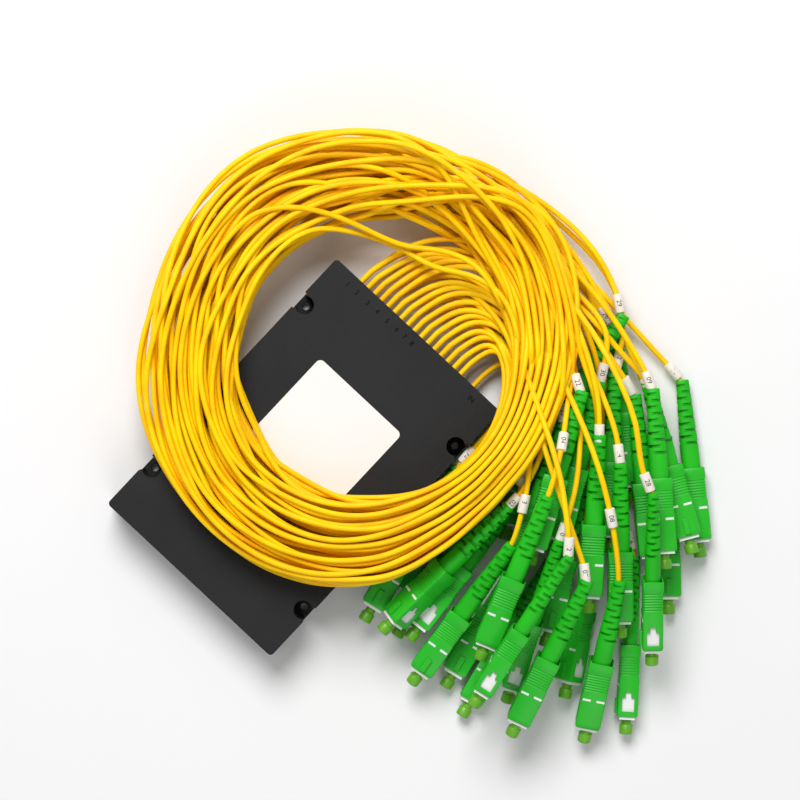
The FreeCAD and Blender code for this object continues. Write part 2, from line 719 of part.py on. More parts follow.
# Round the coil: direction seen from its middle, outer radius, height of its underside as a share
# of the cassette's height, and its own height. It lies on the lid, hangs off the cassette's left
# edge and comes down behind it, and is narrow and thick on the right, where the plugs hold it up.
coilStations = [
    (-165, 86, 1.0, 9), (-150, 83, 1.0, 9), (-135, 81, 1.0, 9), (-120, 80, 1.0, 9),
    (-105, 80, 1.0, 9), (-90, 80, 1.0, 9), (-75, 80, 1.0, 9.5), (-60, 78, 1.0, 10.5),
    (-45, 74, 1.0, 12), (-30, 70, 1.0, 13.5), (-15, 68, 1.0, 14), (0, 67, 1.0, 14),
    (15, 67.5, 1.0, 14), (30, 69.5, 1.0, 13.5), (45, 74, 0.92, 12), (60, 79, 0.6, 10.5),
    (75, 82, 0.25, 9.5), (90, 83, 0.12, 9), (105, 84, 0.12, 9), (120, 85, 0.15, 9),
    (135, 86, 0.25, 9), (150, 87, 0.4, 9), (165, 88, 0.65, 9), (180, 88, 0.9, 9),
]


def coilPoint(angle, radius, z):
    turn = math.radians(angle)
    middleY = (halfLength - d.coilIn).number
    return Vector(d.coilX.number + radius * math.cos(turn), middleY + radius * math.sin(turn), z)


def makeCoil():
    resting = (d.boxHeight + d.labelThick + d.coilGap).number
    inner = d.coilInner.number
    rings = []
    for angle, outer, share, tall in coilStations:
        low = resting * share
        # fewer cables lie at the outer edge, so the top falls towards it
        rings.append([
            coilPoint(angle, inner, low), coilPoint(angle, outer, low),
            coilPoint(angle, outer, low + tall * d.coilShoulder.number),
            coilPoint(angle, inner, low + tall)])
    addShape("cable_coil", skinSolid(rings, closed=True, flat=False))


# How the fan of cables bends to the right and runs in under the coil: how far its right edge and
# its left edge have moved along X and Y from where they start.
fanEdges = [((0, 0), (0, 0)), ((1, 6), (8, 16)), ((2, 10), (34, 21.5))]


def makeFanBundle():
    start = (halfLength + d.fanOutRun).number
    left = (d.firstColumn - slotReach).number
    right = (d.inputColumn + slotReach).number
    low = (d.lowerRow - d.jacketWide / 2).number
    high = (d.upperRow + d.jacketWide / 2).number
    rings = []
    for (rightX, rightY), (leftX, leftY) in fanEdges:
        near = (right + rightX, start + rightY)
        far = (left + leftX, start + leftY)
        rings.append([Vector(*near, low), Vector(*far, low), Vector(*far, high), Vector(*near, high)])
    addShape("fan_out_bundle", skinSolid(rings, flat=False))


# ---- the whole object ------------------------------------------------------------------------

makeBaseShell()
makeLid()
makeLabel()
makeCombs()
makeInsides()
gripMaster = makeGrip("gripMaster", windows=True)
spareGripMaster = makeGrip("spareGripMaster", windows=False)
frameMaster = makeFrame()
ferruleMaster = makeFerrule()
capMaster = makeCap("capMaster", hollow=True)
spareCapMaster = makeCap("spareCapMaster", hollow=False)
bootMaster = makeBoot()
for row in plugPlaces:
    place = plugPlacement(row)
    placeCopy(gripMaster, "grip_%02d" % row[0], place)
    placeCopy(capMaster, "dust_cap_%02d" % row[0], place)
groupCopies(spareGripMaster, "spare_grips", sparePlaces)
groupCopies(spareCapMaster, "spare_caps", sparePlaces)
allPlaces = plugPlaces + sparePlaces
groupCopies(frameMaster, "plug_frames", allPlaces)
groupCopies(ferruleMaster, "ferrules", plugPlaces)
groupCopies(bootMaster, "boots", allPlaces)
addShape("tail_jackets", Part.makeCompound([makeTail(row) for row in allPlaces]))
makeFanOut()
makeFanBundle()
makeCoil()
doc.recompute()

nodes = [
    "base_shell", "lid", "label_sticker", "lower_comb", "upper_comb", "cable_clamp",
    "module_pad", "splitter_module", "module_end_plugs", "ribbon_fan", "input_fibre",
    "fan_out", "fan_out_bundle", "cable_coil", "tail_jackets", "boots", "plug_frames",
    "ferrules", "spare_grips", "spare_caps",
]
for row in plugPlaces:
    nodes += ["grip_%02d" % row[0], "dust_cap_%02d" % row[0]]

failed = [item.Name for item in doc.Objects if {"Invalid", "Error"} & set(item.State)]
if failed:
    raise RuntimeError("these failed to build: " + ", ".join(failed))
for cut in cuts:
    if cut.Shape.Volume > cut.BaseFeature.Shape.Volume - 0.001:
        raise RuntimeError(cut.Name + " cuts nothing")
for name in nodes:
    node = doc.getObject(name)
    node.Label = name
    if node.Shape.isNull() or not node.Shape.isValid():
        raise RuntimeError(name + " has no valid shape")
os.makedirs("parts", exist_ok=True)
for name in nodes:
    doc.getObject(name).Shape.exportStep("parts/%s.step" % name)
print("%d nodes" % len(nodes))
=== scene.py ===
import math
import random

import bmesh
import bpy
from mathutils import Matrix, Vector


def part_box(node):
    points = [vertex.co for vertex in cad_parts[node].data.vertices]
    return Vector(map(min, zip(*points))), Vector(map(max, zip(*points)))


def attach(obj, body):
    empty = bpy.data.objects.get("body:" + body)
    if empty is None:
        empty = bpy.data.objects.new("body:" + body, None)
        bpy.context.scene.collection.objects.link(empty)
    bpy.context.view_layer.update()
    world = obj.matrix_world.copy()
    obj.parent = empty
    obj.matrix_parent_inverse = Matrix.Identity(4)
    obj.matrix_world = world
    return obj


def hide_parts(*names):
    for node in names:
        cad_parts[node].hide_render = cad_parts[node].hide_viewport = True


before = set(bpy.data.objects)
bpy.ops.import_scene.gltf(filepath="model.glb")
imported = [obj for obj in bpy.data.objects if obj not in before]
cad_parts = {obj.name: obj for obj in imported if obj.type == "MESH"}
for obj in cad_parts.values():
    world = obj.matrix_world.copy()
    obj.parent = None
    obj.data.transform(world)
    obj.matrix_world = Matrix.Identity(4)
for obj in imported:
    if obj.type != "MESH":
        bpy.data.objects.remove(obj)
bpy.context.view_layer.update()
mm = 0.001
print("the CAD model is loaded")


# metres, looking straight down; imageUp is the direction on the floor that is up in the render
viewSetup = {
    "height": 1.1, "overPoint": (0.0111, 0.0385), "imageUp": (-0.683, 0.730),
    "lens": 136.3, "sensor": 36.0, "near": 0.05, "far": 20,
}
lampSetup = {
    "aim": (0.03, 0.04, 0), "worldStrength": 0.34,
    "keyPower": 24.0, "keySize": 0.9, "keyPlace": (-0.75, 0.55, 1.25),
    "fillPower": 5.0, "fillSize": 1.2, "fillPlace": (0.9, -0.7, 1.1),
}
floorSetup = {
    "halfSide": 2.5, "drop": 0.0003, "roughness": 0.75, "patchScale": 6,
    "darker": (0.80, 0.79, 0.80, 1), "paler": (0.84, 0.84, 0.84, 1),
}


def makeCamera():
    data = bpy.data.cameras.new("camera")
    data.lens = viewSetup["lens"]
    data.sensor_width = viewSetup["sensor"]
    data.clip_start, data.clip_end = viewSetup["near"], viewSetup["far"]
    camera = bpy.data.objects.new("camera", data)
    upX, upY = viewSetup["imageUp"]
    camera.location = (*viewSetup["overPoint"], viewSetup["height"])
    camera.rotation_euler = (0, 0, math.atan2(-upX, upY))
    bpy.context.collection.objects.link(camera)
    bpy.context.scene.camera = camera


def makeLamp(name, power, size, place):
    data = bpy.data.lights.new(name, "AREA")
    data.shape = "DISK"
    data.energy, data.size = power, size
    lamp = bpy.data.objects.new(name, data)
    lamp.location = place
    aim = Vector(lampSetup["aim"]) - Vector(place)
    lamp.rotation_euler = aim.to_track_quat("-Z", "Y").to_euler()
    bpy.context.collection.objects.link(lamp)


def floorMaterial():
    material = bpy.data.materials.new("paleFloor")
    material.use_nodes = True
    nodes, links = material.node_tree.nodes, material.node_tree.links
    shader = nodes["Principled BSDF"]
    shader.inputs["Roughness"].default_value = floorSetup["roughness"]
    spots = nodes.new("ShaderNodeTexNoise")
    spots.inputs["Scale"].default_value = floorSetup["patchScale"]
    tint = nodes.new("ShaderNodeMix")
    tint.data_type = "RGBA"
    tint.inputs["A"].default_value = floorSetup["darker"]
    tint.inputs["B"].default_value = floorSetup["paler"]
    place = nodes.new("ShaderNodeTexCoord")
    links.new(place.outputs["Object"], spots.inputs["Vector"])
    links.new(spots.outputs["Fac"], tint.inputs["Factor"])
    links.new(tint.outputs["Result"], shader.inputs["Base Color"])
    return material


def makeFloor():
    mesh = bpy.data.meshes.new("floor")
    shape = bmesh.new()
    bmesh.ops.create_grid(shape, x_segments=1, y_segments=1, size=floorSetup["halfSide"])
    shape.to_mesh(mesh)
    shape.free()
    mesh.materials.append(floorMaterial())
    floor = bpy.data.objects.new("floor", mesh)
    floor.location = (0, 0, -floorSetup["drop"])
    bpy.context.collection.objects.link(floor)


def makeLight():
    world = bpy.data.worlds.new("world")
    bpy.context.scene.world = world
    world.use_nodes = True
    sky = world.node_tree.nodes["Background"]
    sky.inputs["Color"].default_value = (1, 1, 1, 1)
    sky.inputs["Strength"].default_value = lampSetup["worldStrength"]
    makeLamp("keyLamp", lampSetup["keyPower"], lampSetup["keySize"], lampSetup["keyPlace"])
    makeLamp("fillLamp", lampSetup["fillPower"], lampSetup["fillSize"], lampSetup["fillPlace"])
    bpy.context.scene.view_settings.view_transform = "Standard"


makeCamera()
makeFloor()
makeLight()
print("camera, lamps and floor are set")


# shared by every finish: broad blotches of a second colour, and a fine grain for gloss and bump
surfaceSetup = {
    "blotchDetail": 3, "blotchLow": 0.35, "blotchHigh": 0.68, "grainDetail": 4, "bumpDistance": 0.0002,
}
# each input of the group, its usual value and the name it has in a finish
surfaceInputs = (
    ("Blotch Scale", 60, "blotchScale"), ("Blotch Share", 0.5, "blotchShare"),
    ("Grain Scale", 2500, "grainScale"), ("Smooth", 0.3, "smooth"), ("Rough", 0.45, "rough"),
)


def mouldedGroup():
    group = bpy.data.node_groups.new("mouldedSurface", "ShaderNodeTree")
    face = group.interface
    face.new_socket("Main Colour", in_out="INPUT", socket_type="NodeSocketColor")
    face.new_socket("Other Colour", in_out="INPUT", socket_type="NodeSocketColor")
    for name, usual, _ in surfaceInputs:
        face.new_socket(name, in_out="INPUT", socket_type="NodeSocketFloat").default_value = usual
    face.new_socket("Colour", in_out="OUTPUT", socket_type="NodeSocketColor")
    face.new_socket("Roughness", in_out="OUTPUT", socket_type="NodeSocketFloat")
    face.new_socket("Height", in_out="OUTPUT", socket_type="NodeSocketFloat")
    nodes, links = group.nodes, group.links
    given, result = nodes.new("NodeGroupInput"), nodes.new("NodeGroupOutput")
    place = nodes.new("ShaderNodeTexCoord")
    blotches, grain = nodes.new("ShaderNodeTexNoise"), nodes.new("ShaderNodeTexNoise")
    blotches.inputs["Detail"].default_value = surfaceSetup["blotchDetail"]
    grain.inputs["Detail"].default_value = surfaceSetup["grainDetail"]
    links.new(place.outputs["Object"], blotches.inputs["Vector"])
    links.new(place.outputs["Object"], grain.inputs["Vector"])
    links.new(given.outputs["Blotch Scale"], blotches.inputs["Scale"])
    links.new(given.outputs["Grain Scale"], grain.inputs["Scale"])
    spread = nodes.new("ShaderNodeMapRange")
    spread.inputs["From Min"].default_value = surfaceSetup["blotchLow"]
    spread.inputs["From Max"].default_value = surfaceSetup["blotchHigh"]
    links.new(blotches.outputs["Fac"], spread.inputs["Value"])
    share = nodes.new("ShaderNodeMath")
    share.operation = "MULTIPLY"
    links.new(spread.outputs["Result"], share.inputs[0])
    links.new(given.outputs["Blotch Share"], share.inputs[1])
    tint = nodes.new("ShaderNodeMix")
    tint.data_type = "RGBA"
    links.new(share.outputs["Value"], tint.inputs["Factor"])
    links.new(given.outputs["Main Colour"], tint.inputs["A"])
    links.new(given.outputs["Other Colour"], tint.inputs["B"])
    gloss = nodes.new("ShaderNodeMapRange")
    links.new(grain.outputs["Fac"], gloss.inputs["Value"])
    links.new(given.outputs["Smooth"], gloss.inputs["To Min"])
    links.new(given.outputs["Rough"], gloss.inputs["To Max"])
    links.new(tint.outputs["Result"], result.inputs["Colour"])
    links.new(gloss.outputs["Result"], result.inputs["Roughness"])
    links.new(grain.outputs["Fac"], result.inputs["Height"])
    return group


# what is under "plain" is set on the shader's own sockets; the rest feeds the shared group
def makeFinish(look):
    material = bpy.data.materials.new(look["name"])
    material.use_nodes = True
    nodes, links = material.node_tree.nodes, material.node_tree.links
    shader = nodes["Principled BSDF"]
    surface = nodes.new("ShaderNodeGroup")
    surface.node_tree = moulded
    surface.inputs["Main Colour"].default_value = (*look["main"], 1)
    surface.inputs["Other Colour"].default_value = (*look["other"], 1)
    for socket, _, key in surfaceInputs:
        surface.inputs[socket].default_value = look[key]
    relief = nodes.new("ShaderNodeBump")
    relief.inputs["Strength"].default_value = look["bump"]
    relief.inputs["Distance"].default_value = surfaceSetup["bumpDistance"]
    links.new(surface.outputs["Colour"], shader.inputs["Base Color"])
    links.new(surface.outputs["Roughness"], shader.inputs["Roughness"])
    links.new(surface.outputs["Height"], relief.inputs["Height"])
    links.new(relief.outputs["Normal"], shader.inputs["Normal"])
    for socket, value in look["plain"].items():
        shader.inputs[socket].default_value = value
    return material


looks = {
    "yellow_jacket": {
        "name": "yellowJacket", "main": (1.0, 0.66, 0.0), "other": (1.0, 0.46, 0.0),
        "blotchScale": 90, "blotchShare": 0.6, "grainScale": 1800,
        "smooth": 0.4, "rough": 0.56, "bump": 0.12, "plain": {"Specular IOR Level": 0.18},
    },
    "green_plastic": {
        "name": "greenGrip", "main": (0.016, 0.47, 0.016), "other": (0.010, 0.38, 0.010),
        "blotchScale": 70, "blotchShare": 0.5, "grainScale": 2600,
        "smooth": 0.3, "rough": 0.46, "bump": 0.12, "plain": {"Specular IOR Level": 0.4},
    },
    "green_boot": {
        "name": "greenBoot", "main": (0.010, 0.48, 0.006), "other": (0.006, 0.37, 0.004),
        "blotchScale": 60, "blotchShare": 0.6, "grainScale": 1600,
        "smooth": 0.42, "rough": 0.6, "bump": 0.2, "plain": {"Specular IOR Level": 0.35},
    },
    "green_cap": {
        "name": "greenCap", "main": (0.17, 0.52, 0.02), "other": (0.11, 0.42, 0.015),
        "blotchScale": 120, "blotchShare": 0.6, "grainScale": 2000,
        "smooth": 0.3, "rough": 0.42, "bump": 0.1, "plain": {"Transmission Weight": 0.25, "IOR": 1.5},
    },
    "white_plastic": {
        "name": "whitePlastic", "main": (0.83, 0.83, 0.82), "other": (0.76, 0.76, 0.75),
        "blotchScale": 80, "blotchShare": 0.5, "grainScale": 2400,
        "smooth": 0.3, "rough": 0.45, "bump": 0.1, "plain": {},
    },
    "sleeve_white": {
        "name": "sleeveWhite", "main": (0.84, 0.80, 0.72), "other": (0.78, 0.73, 0.64),
        "blotchScale": 140, "blotchShare": 0.7, "grainScale": 2200,
        "smooth": 0.4, "rough": 0.55, "bump": 0.12, "plain": {},
    },
    "black_abs": {
        "name": "blackAbs", "main": (0.012, 0.0125, 0.0135), "other": (0.017, 0.0175, 0.019),
        "blotchScale": 40, "blotchShare": 0.7, "grainScale": 2600,
        "smooth": 0.5, "rough": 0.7, "bump": 0.5, "plain": {"Specular IOR Level": 0.22},
    },
    "label_paper": {
        "name": "labelPaper", "main": (0.82, 0.81, 0.79), "other": (0.78, 0.77, 0.74),
        "blotchScale": 30, "blotchShare": 0.5, "grainScale": 5000,
        "smooth": 0.45, "rough": 0.6, "bump": 0.15, "plain": {},
    },
    "foam": {
        "name": "foam", "main": (0.10, 0.10, 0.11), "other": (0.07, 0.07, 0.075),
        "blotchScale": 300, "blotchShare": 0.8, "grainScale": 1500,
        "smooth": 0.8, "rough": 0.95, "bump": 0.6, "plain": {},
    },
    "steel": {
        "name": "steel", "main": (0.62, 0.62, 0.63), "other": (0.50, 0.50, 0.52),
        "blotchScale": 120, "blotchShare": 0.6, "grainScale": 3000,
        "smooth": 0.2, "rough": 0.4, "bump": 0.1, "plain": {"Metallic": 1.0},
    },
    "rubber": {
        "name": "rubber", "main": (0.03, 0.03, 0.032), "other": (0.045, 0.045, 0.048),
        "blotchScale": 90, "blotchShare": 0.7, "grainScale": 2200,
        "smooth": 0.6, "rough": 0.8, "bump": 0.3, "plain": {},
    },
    "fibre_coating": {
        "name": "fibreCoating", "main": (0.75, 0.76, 0.78), "other": (0.55, 0.60, 0.66),
        "blotchScale": 200, "blotchShare": 0.6, "grainScale": 1500,
        "smooth": 0.25, "rough": 0.4, "bump": 0.1, "plain": {},
    },
    "ceramic": {
        "name": "ceramic", "main": (0.80, 0.79, 0.76), "other": (0.74, 0.73, 0.70),
        "blotchScale": 150, "blotchShare": 0.5, "grainScale": 2600,
        "smooth": 0.12, "rough": 0.25, "bump": 0.05, "plain": {"Coat Weight": 0.3},
    },
    "mould_print": {
        "name": "mouldedPrint", "main": (0.0015, 0.0015, 0.0017), "other": (0.003, 0.003, 0.0033),
        "blotchScale": 400, "blotchShare": 0.6, "grainScale": 2600,
        "smooth": 0.75, "rough": 0.9, "bump": 0.05, "plain": {"Specular IOR Level": 0.05},
    },
    "ink": {
        "name": "printInk", "main": (0.02, 0.02, 0.025), "other": (0.05, 0.05, 0.055),
        "blotchScale": 900, "blotchShare": 0.6, "grainScale": 2600,
        "smooth": 0.5, "rough": 0.7, "bump": 0.05, "plain": {},
    },
}
nodeFinish = {
    "base_shell": "black_abs", "lid": "black_abs", "label_sticker": "label_paper",
    "lower_comb": "black_abs", "upper_comb": "black_abs", "cable_clamp": "black_abs",
    "module_pad": "foam", "splitter_module": "steel", "module_end_plugs": "rubber",
    "ribbon_fan": "fibre_coating", "input_fibre": "fibre_coating",
    "plug_frames": "white_plastic", "ferrules": "ceramic",
}


def dressNodes():
    for name, finishName in nodeFinish.items():
        item = bpy.data.objects.get(name)
        if item is not None:
            item.data.materials.clear()
            item.data.materials.append(finish[finishName])


moulded = mouldedGroup()
finish = {name: makeFinish(look) for name, look in looks.items()}
dressNodes()
print("materials are made")


# From here on in millimetres and degrees. The coil lies looser than its CAD solid: up to 8 mm wider,
# and where the solid dips beyond the cassette the cables stay well above it.
coil = {
    "middle": (-5.0, 43.0), "inner": 47.0, "edgeRoom": 1.1,
    "resting": 18.2,  # height of what carries the coil, where it lies on the cassette
    "turns": 2, "layers": 4, "stationStep": 7.5, "seed": 6,
    "climbAt": 105, "climbLong": 48,  # where a cable goes over onto its next turn
    "joinFirst": 38, "joinSpread": 44,  # where the fan-out runs into the coil
    "leaveEarly": 5, "settle": 7,  # degrees, and stations, before its end
    "strays": {12: (175, 62, 5), 7: (160, 46, 8)},  # from and to which angle, how far into the opening
    "strayHeight": 13, "strayShape": 1.3,
}
# how far a layer's band of cables, and each cable in it, wanders over the coil's width
wander = {
    "middle": 0.76, "slow": 0.18, "quick": 0.06, "sidePitch": 2.12, "sideGain": 3.2, "sideLess": 1.9,
    "swaySlow": 0.55, "swayQuick": 0.35, "swayPitch": 2.1, "phase": 6.28,
}
stacking = {
    "thick": 2.04, "give": 0.2, "startHeight": 1.05,
    "rise": 2.0,  # the most that a cable falls from one station to the next
    "rounds": 60, "still": 0.02, "smoothings": 3,
}
# angle, outer radius, share of the resting height
coilStations = [
    (-165, 88, 1.0), (-150, 88, 1.0), (-135, 88.5, 1.0), (-120, 88, 1.0), (-105, 87.5, 1.0),
    (-90, 87, 1.0), (-75, 86, 1.0), (-60, 84, 1.0), (-45, 80.5, 1.0), (-30, 74, 1.0),
    (-15, 69.5, 1.0), (0, 67, 1.0), (15, 67.5, 1.0), (30, 69.5, 1.0), (45, 74, 0.92), (60, 79, 0.6),
    (75, 82, 0.25), (90, 83, 0.12), (105, 83, 0.12), (120, 83, 0.15), (135, 83.5, 0.25),
    (150, 86, 0.4), (165, 88, 0.65), (180, 88, 0.9),
]
cable = {
    "wide": 2.0, "length": 0.95,
    "cutShorter": (15, 22, 24, 25, 26, 27, 29, 30), "shorter": 0.84,
    "cutLonger": (1, 2, 3, 6), "longer": 1.06,
    "wallY": 60.0, "firstColumn": -28.1, "columnPitch": 3.25, "inputColumn": 27.0,
    "lowerRow": 5.0, "upperRow": 10.5, "straight": 6.0,
    "inBoot": (-58, -48, -38, -27),  # behind the grip's front
    "meetRange": 8,  # how far above its way out a cable may still be when it gets there
}
fan = {
    "steps": 6, "reach": 0.42, "reachSpread": 9, "ahead": 4,
    "upperAway": 4, "lowerAway": -1, "loose": (-2, 6),
}

# number, place of the grip's front, heading, nose-down lean, roll; 0 is the input
movingPlugs = [
    (1, 71.5, -15.5, 13.0, -85, 0, 90),
    (2, 63.0, -20.0, 18.5, -92, 7, 45),
    (3, 67.5, -18.5, 3.75, -81, 0, 0),
    (31, 83.0, -27.0, 10.5, -82, 16, 0),
    (4, 92.5, -3.5, 25.0, -69, 12, 180),
    (12, 102.5, -16.5, 31.0, -79, 11, 90),
    (10, 110.5, -9.0, 13.0, -64, 16, 90),
    (5, 104.0, -23.5, 3.75, -77, 0, 0),
    (6, 92.5, -20.0, 3.75, -78, 0, 0),
    (7, 120.0, -16.0, 19.5, -72, 15, 180),
    (8, 140.5, -1.0, 8.0, -58, 20, 180),
    (16, 149.0, 11.0, 4.6, -50, 0, 90),
    (28, 137.0, 35.5, 19.4, -46, 16, 90),
    (13, 120.0, 73.5, 12.7, -32, 0, 0),
    (15, 108.0, 34.0, 17.5, -50, 9, 180),
    (17, 106.5, 15.0, 10.5, -60, 0, 0),
    (19, 124.5, 6.0, 6.5, -58, 0, 45),
    (20, 130.5, 53.0, 3.75, -46, 0, 0),
]
groupedPlugs = [
    (9, 116.5, 63.5, 21.0, -43, 0, 180),
    (11, 115.0, 59.5, 12.0, -41, 0, 0),
    (14, 122.5, 35.0, 14.5, -46, 13, 180),
    (18, 70.5, 33.0, 3.75, -67, 0, 0),
    (21, 99.5, 55.0, 13.0, -48, -2, 0),
    (22, 81.5, 33.0, 26.0, -64, 1, 0),
    (23, 83.5, 19.0, 17.0, -66, 3, 0),
    (24, 79.5, 59.5, 3.75, -55, 0, 0),
    (25, 55.0, -11.0, 3.75, -83, 0, 0),
    (26, 93.5, 74.0, 3.75, -40, 0, 0),
    (27, 51.5, 29.0, 11.0, -86, 0, 0),
    (29, 61.0, 59.0, 12.0, -78, 0, 0),
    (30, 86.0, 41.0, 18.0, -62, 0, 0),
    (32, 54.5, -22.0, 12.0, -78, 0, 0),
    (0, 124.5, 75.5, 3.75, -41, 0, 0),
]
allPlugs = {row[0]: row for row in movingPlugs + groupedPlugs}

# where each cable goes after its boot, the last place being in the coil, as in the CAD model
tailRoutes = {
    0: [(71, 114, 4), (58, 115, 5), (35, 117, 6), (1, 116, 6)],
    1: [(64, 45, 20), (58, 52, 23), (51, 60, 25), (40, 75, 23)],
    2: [(65, 45, 26), (63, 53, 25), (60, 61, 24), (57, 68, 23)],
    3: [(58, 45, 7), (56, 57, 15), (50, 72, 21), (46, 78, 21)],
    4: [(68, 58, 38), (63, 67, 34), (56, 77, 29), (51, 85, 24)],
    5: [(92, 47, 6), (83, 64, 11), (65, 85, 24), (45, 95, 25)],
    6: [(78, 47, 5), (73, 61, 11), (59, 80, 20), (39, 92, 21.5)],
    7: [(93, 43, 34), (74, 53, 34), (51, 66, 30), (30, 80, 22)],
    8: [(93.5, 59.5, 36), (72.5, 72.5, 35.5), (40.5, 86.5, 25), (12, 93.5, 14)],
    9: [(62, 108, 20), (38, 114, 18), (10, 116, 14), (-8, 115, 10)],
    10: [(82, 51, 27), (75, 63, 27), (59, 82, 23), (45, 92, 18)],
    11: [(56, 101, 17), (42, 104, 16), (14, 103, 12), (-9, 100, 10)],
    12: [(82, 48, 44), (67, 60, 41), (37, 76, 29), (18, 86, 17)],
    13: [(56, 105, 16), (41, 107, 16), (21, 107, 13), (9, 107, 12)],
    14: [(73, 84, 27), (49, 95, 21), (28, 101, 16), (1, 99, 9)],
    15: [(61, 88, 28), (43, 99, 26), (20, 109, 18), (-1, 112, 11)],
    16: [(92, 67, 3), (74, 82, 3), (36, 115, 11), (16, 118, 12)],
    17: [(61.5, 90, 9), (47, 98.5, 6.5), (35.5, 103.5, 6.5), (17.5, 107.5, 8)],
    18: [(42, 90, 5), (29, 95, 8), (15, 100, 9), (7, 102, 9)],
    19: [(87, 68, 5), (67, 85, 10), (54, 97, 17), (36, 105, 19)],
    20: [(78, 100, 4), (53, 111, 7), (28, 118, 9), (14, 121, 9)],
    21: [(58, 104, 11), (49, 117, 8), (29, 125, 6), (-6, 124, 4)],
    22: [(44, 89, 25), (28, 93, 20), (-1, 96, 13), (-14, 94, 10)],
    23: [(53, 78, 20), (43, 87, 17), (30, 95, 14), (24, 99, 13)],
    24: [(39, 109, 4), (26, 112, 4), (14, 114, 4), (-4, 114, 5)],
    25: [(45, 54, 5), (40, 64, 8), (28, 85, 11), (20, 93, 11)],
    26: [(39, 112, 5), (25, 114, 7), (12, 115, 8), (1, 115, 9)],
    27: [(38, 92, 11), (30, 94, 10), (16, 97, 10), (-9, 95, 8)],
    28: [(90, 78, 36), (73, 93, 39), (32, 107, 26), (13, 102, 14)],
    29: [(33, 124, 12), (16, 127, 10), (-6, 125, 9), (-29, 118, 9)],
    30: [(52, 104, 19), (44, 109, 18), (29, 110, 13), (5, 111, 10)],
    31: [(72, 35, 28), (64, 49, 28), (52, 63, 26), (43, 75, 22)],
    32: [(42, 58, 15), (39, 71, 16), (33, 79, 16), (25, 86, 14)],
}


def plugMatrix(row):
    x, y, z, heading, lean, roll = row[1:]
    turn = (Matrix.Rotation(math.radians(heading), 4, "Z")
            @ Matrix.Rotation(math.radians(lean), 4, "Y")
            @ Matrix.Rotation(math.radians(roll), 4, "X"))
    return Matrix.Translation((x * mm, y * mm, z * mm)) @ turn


def stationValue(angle, column):
    count = len(coilStations)
    place = (angle - coilStations[0][0]) % 360 / (360 / count)
    index = int(place)
    part = place - index
    here, there = coilStations[index], coilStations[(index + 1) % count]
    return here[column] * (1 - part) + there[column] * part


def outerRadius(angle):
    return stationValue(angle, 1)


def underside(angle):
    return coil["resting"] * stationValue(angle, 2)


def stationsAround():
    return round(360 / coil["stationStep"])


def ringPoint(angle, radius, z):
    turn = math.radians(angle)
    x, y = coil["middle"]
    return (x + radius * math.cos(turn), y + radius * math.sin(turn), z)


def ringPlace(point):
    x, y = point[0] - coil["middle"][0], point[1] - coil["middle"][1]
    return math.degrees(math.atan2(y, x)), math.hypot(x, y)


def ease(t):
    t = min(max(t, 0), 1)
    return t * t * (3 - 2 * t)


def cableExit(number):
    if number == 0:
        return cable["inputColumn"], cable["lowerRow"]
    row = cable["upperRow"] if number % 2 else cable["lowerRow"]
    return cable["firstColumn"] + cable["columnPitch"] * ((number - 1) // 2), row


def drawWave(draw, slowChoices, quickChoices):
    return (draw.uniform(0, wander["phase"]), draw.choice(slowChoices),
            draw.uniform(0, wander["phase"]), draw.choice(quickChoices))


def bandWave(parts, turn):
    first, slow, second, quick = parts
    return (wander["middle"] + wander["slow"] * math.sin(slow * turn + first)
            + wander["quick"] * math.sin(quick * turn + second))


def swayWave(parts, turn):
    first, slow, second, quick = parts
    return (wander["swaySlow"] * math.sin(slow * turn + first)
            + wander["swayQuick"] * math.sin(quick * turn + second))


# The cables whose tails lie lowest are in the lowest layer. In a layer's first turn they keep the
# order in which they leave the wall, then they are mixed, and last they lie in the order of their ends.
def sortIntoLayers(draw):
    layers = coil["layers"]
    order = sorted(allPlugs, key=lambda n: tailRoutes[n][1][2] + tailRoutes[n][2][2])
    plans = {}
    for index, number in enumerate(order):
        x, _ = cableExit(number)
        endAngle, endRadius = ringPlace(tailRoutes[number][3])
        plans[number] = {
            "across": (x - cable["firstColumn"]) / (cable["inputColumn"] - cable["firstColumn"]),
            "layer": index * layers // len(order), "endAngle": endAngle, "endRadius": endRadius,
        }
    for layer in range(layers):
        mates = [n for n in plans if plans[n]["layer"] == layer]
        byExit = sorted(mates, key=lambda n: -plans[n]["across"])
        mixed = list(mates)
        draw.shuffle(mixed)
        byEnd = sorted(mates, key=lambda n: plans[n]["endRadius"])
        for number in mates:
            plans[number]["mates"] = len(mates)
            plans[number]["slots"] = [byExit.index(number), mixed.index(number), byEnd.index(number)]
    return plans


def drawWaves(draw, plans):
    bands = {}
    for part in range(coil["turns"] + 1):
        for layer in range(coil["layers"]):
            bands[part, layer] = [drawWave(draw, [1, 2], [2, 3]) for _ in range(2)]
    for plan in plans.values():
        plan["bands"] = [bands[part, plan["layer"]] for part in range(coil["turns"] + 1)]
        plan["own"] = [drawWave(draw, [2, 3, 4], [5, 6, 7]) for _ in range(coil["turns"] + 1)]


# the radius at which a cable runs in its slot of the band
def slotRadius(plan, part, angle):
    turn = math.radians(angle)
    mates = plan["mates"]
    room = outerRadius(angle) - coil["inner"] - 2 * coil["edgeRoom"]
    widthWave, sideWave = plan["bands"][part]
    tight = min(room, mates * wander["sidePitch"])
    span = tight + (room - tight) * bandWave(widthWave, turn)
    side = min(max(bandWave(sideWave, turn) * wander["sideGain"] - wander["sideLess"], 0), 1)
    sway = swayWave(plan["own"][part], turn)
    sway *= max(0, 1 - wander["swayPitch"] * mates / span)
    share = (plan["slots"][part] + 0.5 + sway) / mates
    return coil["inner"] + coil["edgeRoom"] + (room - span) * side + span * share


